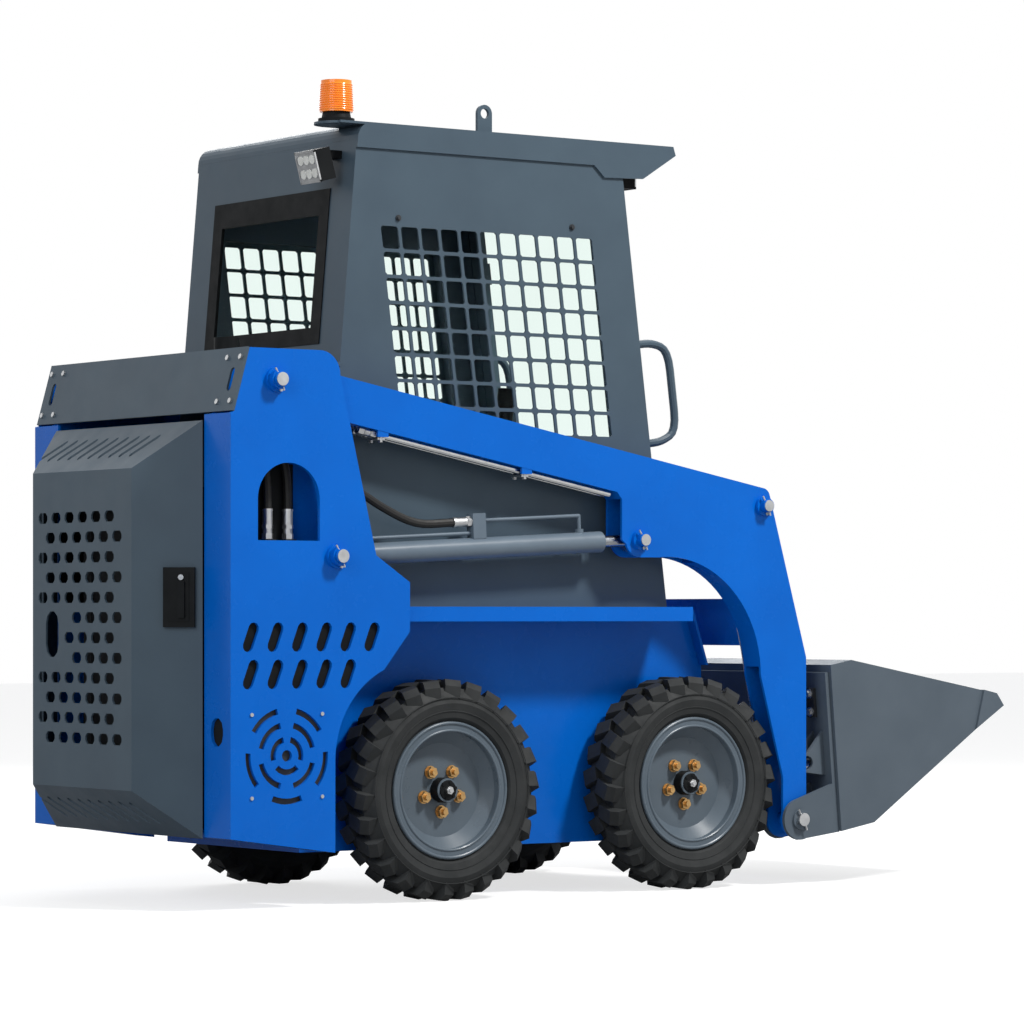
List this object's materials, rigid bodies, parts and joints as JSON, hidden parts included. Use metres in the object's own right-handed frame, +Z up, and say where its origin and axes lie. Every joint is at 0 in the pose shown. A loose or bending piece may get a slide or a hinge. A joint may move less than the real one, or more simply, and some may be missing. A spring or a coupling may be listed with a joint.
{
  "type": "skid steer loader",
  "caption": "Compact wheeled skid steer loader with blue towers and boom, dark grey glazed cab, perforated engine door, bucket, tilting and lifting cylinders and an amber beacon.",
  "frame": {"origin": "ground level under the middle of the overall box", "axes": "+X forward to the bucket, +Y to the left side, +Z up"},
  "size_m": [2.6908, 1.064, 2.1136],
  "materials": {
    "blue_paint": "gloss",
    "grey_paint": "satin",
    "dark_metal": "satin",
    "bright_steel": "polished",
    "black_plastic": "matte",
    "hose_rubber": "matte",
    "tyre_rubber": "matte",
    "seat_cover": "matte",
    "tinted_glass": "gloss",
    "amber_lens": "gloss"
  },
  "bodies": {
    "chassis": {"chassis_tub": "blue_paint", "fenders": "blue_paint", "tower_right": "blue_paint", "tower_left": "blue_paint", "axle_housings": "dark_metal", "engine_block": "dark_metal", "radiator": "dark_metal", "engine_deck": "grey_paint", "rear_top_plate": "grey_paint", "filler_cap": "black_plastic", "pivot_pins": "blue_paint", "door_hinges": "dark_metal", "side_screens": "dark_metal", "tower_hoses": "hose_rubber", "cab_side_right": "grey_paint", "cab_side_left": "grey_paint", "cab_rear_wall": "grey_paint", "cab_roof": "grey_paint", "cab_front_frame": "grey_paint", "cab_floor": "black_plastic", "cab_glass": "tinted_glass", "seat": "seat_cover", "control_levers": "black_plastic", "beacon_base": "black_plastic", "beacon_lens": "amber_lens", "work_lamps": "black_plastic", "lifting_eyes": "grey_paint", "grab_handles": "grey_paint"},
    "engine_door": {"engine_door": "grey_paint", "door_latch": "black_plastic"},
    "cab_door": {"cab_door": "grey_paint", "cab_door_glass": "tinted_glass"},
    "boom": {"boom_arm_right": "blue_paint", "boom_arm_left": "blue_paint", "boom_cross_member": "blue_paint", "boom_pipes": "bright_steel", "boom_pins": "blue_paint"},
    "bucket": {"coupler": "grey_paint", "latch_levers": "dark_metal", "bucket": "grey_paint"},
    "lift_barrel_right": {"lift_barrel_right": "dark_metal", "lift_hose_right": "hose_rubber"},
    "lift_rod_right": {"lift_rod_right": "bright_steel"},
    "tilt_barrel_right": {"tilt_barrel_right": "dark_metal"},
    "tilt_rod_right": {"tilt_rod_right": "bright_steel"},
    "lift_barrel_left": {"lift_barrel_left": "dark_metal", "lift_hose_left": "hose_rubber"},
    "lift_rod_left": {"lift_rod_left": "bright_steel"},
    "tilt_barrel_left": {"tilt_barrel_left": "dark_metal"},
    "tilt_rod_left": {"tilt_rod_left": "bright_steel"},
    "wheel_front_right": {"tyre_front_right": "tyre_rubber", "rim_front_right": "grey_paint"},
    "wheel_front_left": {"tyre_front_left": "tyre_rubber", "rim_front_left": "grey_paint"},
    "wheel_rear_right": {"tyre_rear_right": "tyre_rubber", "rim_rear_right": "grey_paint"},
    "wheel_rear_left": {"tyre_rear_left": "tyre_rubber", "rim_rear_left": "grey_paint"}
  },
  "joints": [
    {"name": "wheel_front_right_spin", "type": "hinge", "parent": "chassis", "child": "wheel_front_right", "pos_m": [0.26857, -0.4125, 0.285], "axis": [0, 1, 0], "continuous": true},
    {"name": "wheel_front_left_spin", "type": "hinge", "parent": "chassis", "child": "wheel_front_left", "pos_m": [0.26857, 0.4125, 0.285], "axis": [0, 1, 0], "continuous": true},
    {"name": "wheel_rear_right_spin", "type": "hinge", "parent": "chassis", "child": "wheel_rear_right", "pos_m": [-0.52443, -0.4125, 0.285], "axis": [0, 1, 0], "continuous": true},
    {"name": "wheel_rear_left_spin", "type": "hinge", "parent": "chassis", "child": "wheel_rear_left", "pos_m": [-0.52443, 0.4125, 0.285], "axis": [0, 1, 0], "continuous": true},
    {"name": "boom_lift", "type": "hinge", "parent": "chassis", "child": "boom", "pos_m": [-1.07243, 0, 1.326], "axis": [0, -1, 0], "range_deg": [0, 62]},
    {"name": "bucket_tilt", "type": "hinge", "parent": "boom", "child": "bucket", "pos_m": [0.61757, 0, 0.179], "axis": [0, 1, 0], "range_deg": [0, 118]},
    {"name": "engine_door_swing", "type": "hinge", "parent": "chassis", "child": "engine_door", "pos_m": [-1.21743, 0.386, 0.7], "axis": [0, 0, -1], "range_deg": [0, 105]},
    {"name": "cab_door_swing", "type": "hinge", "parent": "chassis", "child": "cab_door", "pos_m": [0.25149, 0.318, 0.76028], "axis": [-0.1279, 0, 0.9918], "range_deg": [0, 95]},
    {"name": "lift_swing_right", "type": "hinge", "parent": "chassis", "child": "lift_barrel_right", "pos_m": [-0.89243, -0.449, 0.886], "axis": [0, -1, 0], "range_deg": [0, 59.1]},
    {"name": "lift_slide_right", "type": "slide", "parent": "lift_barrel_right", "child": "lift_rod_right", "axis": [0.9986, 0, 0.0525], "range_m": [0, 0.487]},
    {"name": "tilt_swing_right", "type": "hinge", "parent": "boom", "child": "tilt_barrel_right", "pos_m": [0.49857, -0.449, 1.034], "axis": [0, -1, 0], "range_deg": [0, 1]},
    {"name": "tilt_slide_right", "type": "slide", "parent": "tilt_barrel_right", "child": "tilt_rod_right", "axis": [0.2301, 0, -0.9732], "range_m": [0, 0.278]},
    {"name": "lift_swing_left", "type": "hinge", "parent": "chassis", "child": "lift_barrel_left", "pos_m": [-0.89243, 0.449, 0.886], "axis": [0, -1, 0], "range_deg": [0, 59.1]},
    {"name": "lift_slide_left", "type": "slide", "parent": "lift_barrel_left", "child": "lift_rod_left", "axis": [0.9986, 0, 0.0525], "range_m": [0, 0.487]},
    {"name": "tilt_swing_left", "type": "hinge", "parent": "boom", "child": "tilt_barrel_left", "pos_m": [0.49857, 0.449, 1.034], "axis": [0, -1, 0], "range_deg": [0, 1]},
    {"name": "tilt_slide_left", "type": "slide", "parent": "tilt_barrel_left", "child": "tilt_rod_left", "axis": [0.2301, 0, -0.9732], "range_m": [0, 0.278]}
  ],
  "couplings": [
    {"joint": "lift_swing_right", "follows": "boom_lift", "ratio": 0.93658},
    {"joint": "lift_slide_right", "follows": "boom_lift", "m_per_rad": 0.44621},
    {"joint": "tilt_swing_right", "follows": "bucket_tilt", "ratio": 0.001451},
    {"joint": "tilt_slide_right", "follows": "bucket_tilt", "m_per_rad": 0.13318},
    {"joint": "lift_swing_left", "follows": "boom_lift", "ratio": 0.93658},
    {"joint": "lift_slide_left", "follows": "boom_lift", "m_per_rad": 0.44621},
    {"joint": "tilt_swing_left", "follows": "bucket_tilt", "ratio": 0.001451},
    {"joint": "tilt_slide_left", "follows": "bucket_tilt", "m_per_rad": 0.13318}
  ]
}
